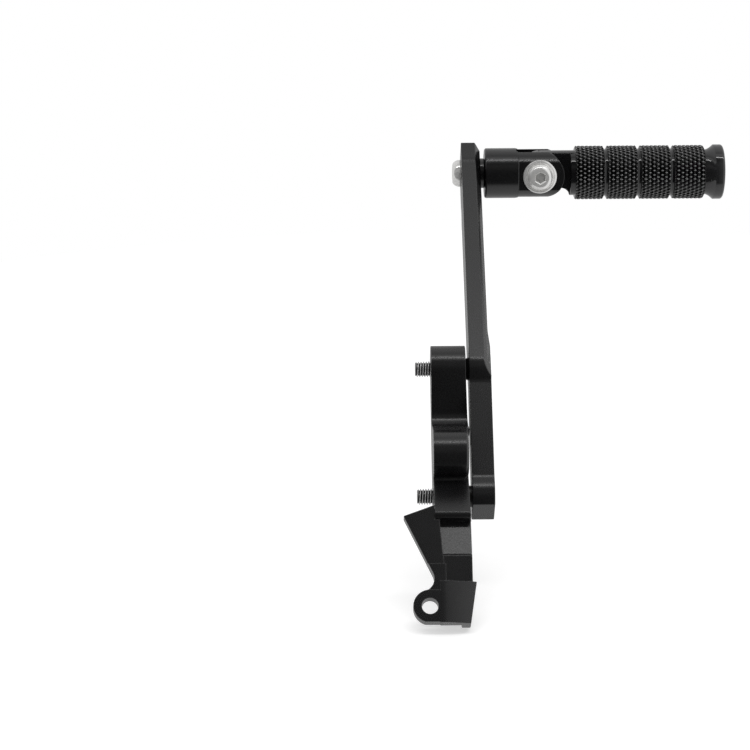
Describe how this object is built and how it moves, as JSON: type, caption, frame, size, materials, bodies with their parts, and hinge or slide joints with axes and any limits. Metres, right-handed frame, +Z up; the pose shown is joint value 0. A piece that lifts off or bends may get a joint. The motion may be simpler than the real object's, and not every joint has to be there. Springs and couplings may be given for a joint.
{
  "type": "motorcycle footpeg",
  "caption": "Folding motorcycle footpeg: knurled round barrel with a flared end cap, clevis and pivot bolt, on a dogleg arm plate bolted to a frame bracket with a fin and a holed lug.",
  "frame": {"origin": "halfway between the two bracket bolts, in the plane of the bracket's face that lies against the motorcycle's frame", "axes": "+X points outboard along the peg, away from the motorcycle's frame; +Z is up; +Y points from the fin and lug end to the peg end, across the motorcycle's side"},
  "size_m": [0.1697, 0.2169, 0.1923],
  "materials": {
    "black_anodised": "satin black anodised",
    "bright_steel": "zinc plated",
    "dark_spacer": "black anodised",
    "nylon": "natural nylon"
  },
  "bodies": {
    "mount": {"mounting_bracket": "black_anodised", "arm_plate": "black_anodised", "upper_bracket_bolt": "bright_steel", "lower_bracket_bolt": "bright_steel", "upper_spacer": "dark_spacer", "lower_spacer": "dark_spacer", "clevis_bolt": "bright_steel", "clevis_washer": "black_anodised"},
    "fork": {"clevis": "black_anodised", "pivot_bolt": "bright_steel", "pivot_nut": "bright_steel", "nut_insert": "nylon"},
    "peg": {"peg_barrel": "black_anodised", "end_cap": "black_anodised", "end_cap_screw": "bright_steel"}
  },
  "joints": [
    {"name": "clevis_swivel", "type": "hinge", "parent": "mount", "child": "fork", "pos_m": [0.04, 0.11469, 0.10519], "axis": [1, 0, 0], "continuous": true},
    {"name": "peg_fold", "type": "hinge", "parent": "fork", "child": "peg", "pos_m": [0.05925, 0.11469, 0.10519], "axis": [0, -1, 0], "range_deg": [0, 90]}
  ]
}
